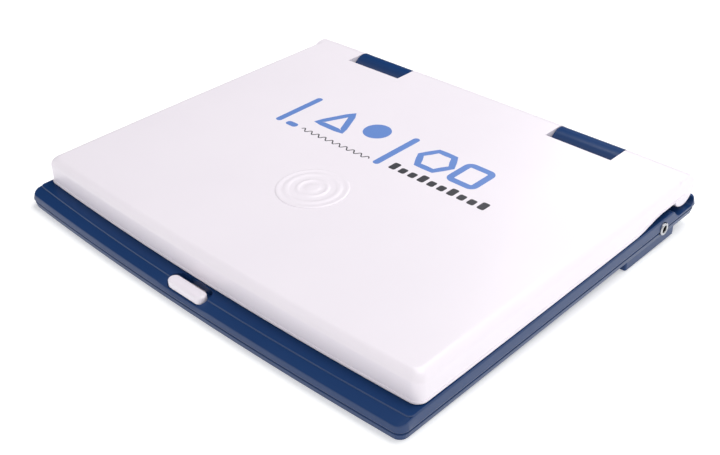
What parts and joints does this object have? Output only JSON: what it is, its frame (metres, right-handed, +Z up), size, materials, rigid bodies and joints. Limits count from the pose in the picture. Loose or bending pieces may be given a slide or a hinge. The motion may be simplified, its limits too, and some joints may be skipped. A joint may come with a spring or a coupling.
{
  "type": "toy laptop computer",
  "caption": "Clamshell toy laptop with a white flip-up lid on a friction hinge, navy base, sprung letter keys, sliding latch and battery hatch.",
  "frame": {"origin": "centre of the footprint on the table, closed lid", "axes": "+X to the right seen from the front, +Y towards the hinge, +Z up"},
  "size_m": [0.301, 0.2624, 0.037],
  "materials": {
    "navy_case": "glossy navy moulding with a fine moulded haze",
    "navy_case_top": "glossy navy moulding",
    "white_gloss": "glossy white moulding with a faint lavender tint",
    "bezel_plastic": "satin light grey",
    "key_plastic": "satin white key caps",
    "blue_silicone": "soft matt blue rubber",
    "silicone_mat": "matt grey silicone",
    "foot_rubber": "matt black rubber",
    "black_moulding": "black moulding",
    "chrome_ring": "bright plated ring",
    "contact_metal": "plated sheet metal",
    "pin_steel": "ground steel",
    "screw_steel": "zinc plated screws",
    "cell_skin": "printed battery sleeve in dark grey",
    "circuit_board": "green circuit board",
    "clear_window": "clear acrylic",
    "lcd_panel": "grey-green display panel"
  },
  "bodies": {
    "base": {"bottom_case": "navy_case", "top_case": "navy_case_top", "battery_door": "navy_case", "battery_door_screw": "screw_steel", "battery_1": "cell_skin", "battery_2": "cell_skin", "battery_3": "cell_skin", "battery_contact_left": "contact_metal", "battery_contact_right": "contact_metal", "main_board": "circuit_board", "speaker": "contact_metal", "key_mat": "silicone_mat", "function_strip": "blue_silicone", "jack_socket": "black_moulding", "jack_collar": "chrome_ring", "latch_spring": "contact_metal", "hinge_pin_left": "pin_steel", "hinge_pin_right": "pin_steel", "foot_front_left": "foot_rubber", "foot_front_right": "foot_rubber", "foot_rear_left": "foot_rubber", "foot_rear_right": "foot_rubber", "case_screw_front_left": "screw_steel", "case_screw_front_right": "screw_steel", "case_screw_rear_left": "screw_steel", "case_screw_rear_right": "screw_steel"},
    "lid": {"lid_cover": "white_gloss", "lid_bezel": "bezel_plastic", "screen_window": "clear_window", "lcd_module": "lcd_panel", "lid_screw_left": "screw_steel", "lid_screw_right": "screw_steel"},
    "latch": {"latch_button": "white_gloss"},
    "key_q": {"key_q": "key_plastic"},
    "key_w": {"key_w": "key_plastic"},
    "key_e": {"key_e": "key_plastic"},
    "key_r": {"key_r": "key_plastic"},
    "key_t": {"key_t": "key_plastic"},
    "key_y": {"key_y": "key_plastic"},
    "key_u": {"key_u": "key_plastic"},
    "key_i": {"key_i": "key_plastic"},
    "key_o": {"key_o": "key_plastic"},
    "key_p": {"key_p": "key_plastic"},
    "key_a": {"key_a": "key_plastic"},
    "key_s": {"key_s": "key_plastic"},
    "key_d": {"key_d": "key_plastic"},
    "key_f": {"key_f": "key_plastic"},
    "key_g": {"key_g": "key_plastic"},
    "key_h": {"key_h": "key_plastic"},
    "key_j": {"key_j": "key_plastic"},
    "key_k": {"key_k": "key_plastic"},
    "key_l": {"key_l": "key_plastic"},
    "key_z": {"key_z": "key_plastic"},
    "key_x": {"key_x": "key_plastic"},
    "key_c": {"key_c": "key_plastic"},
    "key_v": {"key_v": "key_plastic"},
    "key_b": {"key_b": "key_plastic"},
    "key_n": {"key_n": "key_plastic"},
    "key_m": {"key_m": "key_plastic"},
    "key_space": {"key_space": "key_plastic"}
  },
  "joints": [
    {"name": "lid_hinge", "type": "hinge", "parent": "base", "child": "lid", "pos_m": [-0.00045, 0.11797, 0.02665], "axis": [-1, 0, 0], "range_deg": [0, 125]},
    {"name": "latch_slide", "type": "slide", "parent": "base", "child": "latch", "axis": [0, 0.9995, 0.0307], "range_m": [0, 0.0015], "stiffness_N_per_m": 150, "springref_m": -0.001},
    {"name": "key_q_press", "type": "slide", "parent": "base", "child": "key_q", "axis": [0, 0.0307, -0.9995], "range_m": [0, 0.0015], "stiffness_N_per_m": 200, "springref_m": -0.001},
    {"name": "key_w_press", "type": "slide", "parent": "base", "child": "key_w", "axis": [0, 0.0307, -0.9995], "range_m": [0, 0.0015], "stiffness_N_per_m": 200, "springref_m": -0.001},
    {"name": "key_e_press", "type": "slide", "parent": "base", "child": "key_e", "axis": [0, 0.0307, -0.9995], "range_m": [0, 0.0015], "stiffness_N_per_m": 200, "springref_m": -0.001},
    {"name": "key_r_press", "type": "slide", "parent": "base", "child": "key_r", "axis": [0, 0.0307, -0.9995], "range_m": [0, 0.0015], "stiffness_N_per_m": 200, "springref_m": -0.001},
    {"name": "key_t_press", "type": "slide", "parent": "base", "child": "key_t", "axis": [0, 0.0307, -0.9995], "range_m": [0, 0.0015], "stiffness_N_per_m": 200, "springref_m": -0.001},
    {"name": "key_y_press", "type": "slide", "parent": "base", "child": "key_y", "axis": [0, 0.0307, -0.9995], "range_m": [0, 0.0015], "stiffness_N_per_m": 200, "springref_m": -0.001},
    {"name": "key_u_press", "type": "slide", "parent": "base", "child": "key_u", "axis": [0, 0.0307, -0.9995], "range_m": [0, 0.0015], "stiffness_N_per_m": 200, "springref_m": -0.001},
    {"name": "key_i_press", "type": "slide", "parent": "base", "child": "key_i", "axis": [0, 0.0307, -0.9995], "range_m": [0, 0.0015], "stiffness_N_per_m": 200, "springref_m": -0.001},
    {"name": "key_o_press", "type": "slide", "parent": "base", "child": "key_o", "axis": [0, 0.0307, -0.9995], "range_m": [0, 0.0015], "stiffness_N_per_m": 200, "springref_m": -0.001},
    {"name": "key_p_press", "type": "slide", "parent": "base", "child": "key_p", "axis": [0, 0.0307, -0.9995], "range_m": [0, 0.0015], "stiffness_N_per_m": 200, "springref_m": -0.001},
    {"name": "key_a_press", "type": "slide", "parent": "base", "child": "key_a", "axis": [0, 0.0307, -0.9995], "range_m": [0, 0.0015], "stiffness_N_per_m": 200, "springref_m": -0.001},
    {"name": "key_s_press", "type": "slide", "parent": "base", "child": "key_s", "axis": [0, 0.0307, -0.9995], "range_m": [0, 0.0015], "stiffness_N_per_m": 200, "springref_m": -0.001},
    {"name": "key_d_press", "type": "slide", "parent": "base", "child": "key_d", "axis": [0, 0.0307, -0.9995], "range_m": [0, 0.0015], "stiffness_N_per_m": 200, "springref_m": -0.001},
    {"name": "key_f_press", "type": "slide", "parent": "base", "child": "key_f", "axis": [0, 0.0307, -0.9995], "range_m": [0, 0.0015], "stiffness_N_per_m": 200, "springref_m": -0.001},
    {"name": "key_g_press", "type": "slide", "parent": "base", "child": "key_g", "axis": [0, 0.0307, -0.9995], "range_m": [0, 0.0015], "stiffness_N_per_m": 200, "springref_m": -0.001},
    {"name": "key_h_press", "type": "slide", "parent": "base", "child": "key_h", "axis": [0, 0.0307, -0.9995], "range_m": [0, 0.0015], "stiffness_N_per_m": 200, "springref_m": -0.001},
    {"name": "key_j_press", "type": "slide", "parent": "base", "child": "key_j", "axis": [0, 0.0307, -0.9995], "range_m": [0, 0.0015], "stiffness_N_per_m": 200, "springref_m": -0.001},
    {"name": "key_k_press", "type": "slide", "parent": "base", "child": "key_k", "axis": [0, 0.0307, -0.9995], "range_m": [0, 0.0015], "stiffness_N_per_m": 200, "springref_m": -0.001},
    {"name": "key_l_press", "type": "slide", "parent": "base", "child": "key_l", "axis": [0, 0.0307, -0.9995], "range_m": [0, 0.0015], "stiffness_N_per_m": 200, "springref_m": -0.001},
    {"name": "key_z_press", "type": "slide", "parent": "base", "child": "key_z", "axis": [0, 0.0307, -0.9995], "range_m": [0, 0.0015], "stiffness_N_per_m": 200, "springref_m": -0.001},
    {"name": "key_x_press", "type": "slide", "parent": "base", "child": "key_x", "axis": [0, 0.0307, -0.9995], "range_m": [0, 0.0015], "stiffness_N_per_m": 200, "springref_m": -0.001},
    {"name": "key_c_press", "type": "slide", "parent": "base", "child": "key_c", "axis": [0, 0.0307, -0.9995], "range_m": [0, 0.0015], "stiffness_N_per_m": 200, "springref_m": -0.001},
    {"name": "key_v_press", "type": "slide", "parent": "base", "child": "key_v", "axis": [0, 0.0307, -0.9995], "range_m": [0, 0.0015], "stiffness_N_per_m": 200, "springref_m": -0.001},
    {"name": "key_b_press", "type": "slide", "parent": "base", "child": "key_b", "axis": [0, 0.0307, -0.9995], "range_m": [0, 0.0015], "stiffness_N_per_m": 200, "springref_m": -0.001},
    {"name": "key_n_press", "type": "slide", "parent": "base", "child": "key_n", "axis": [0, 0.0307, -0.9995], "range_m": [0, 0.0015], "stiffness_N_per_m": 200, "springref_m": -0.001},
    {"name": "key_m_press", "type": "slide", "parent": "base", "child": "key_m", "axis": [0, 0.0307, -0.9995], "range_m": [0, 0.0015], "stiffness_N_per_m": 200, "springref_m": -0.001},
    {"name": "key_space_press", "type": "slide", "parent": "base", "child": "key_space", "axis": [0, 0.0307, -0.9995], "range_m": [0, 0.0015], "stiffness_N_per_m": 200, "springref_m": -0.001}
  ]
}
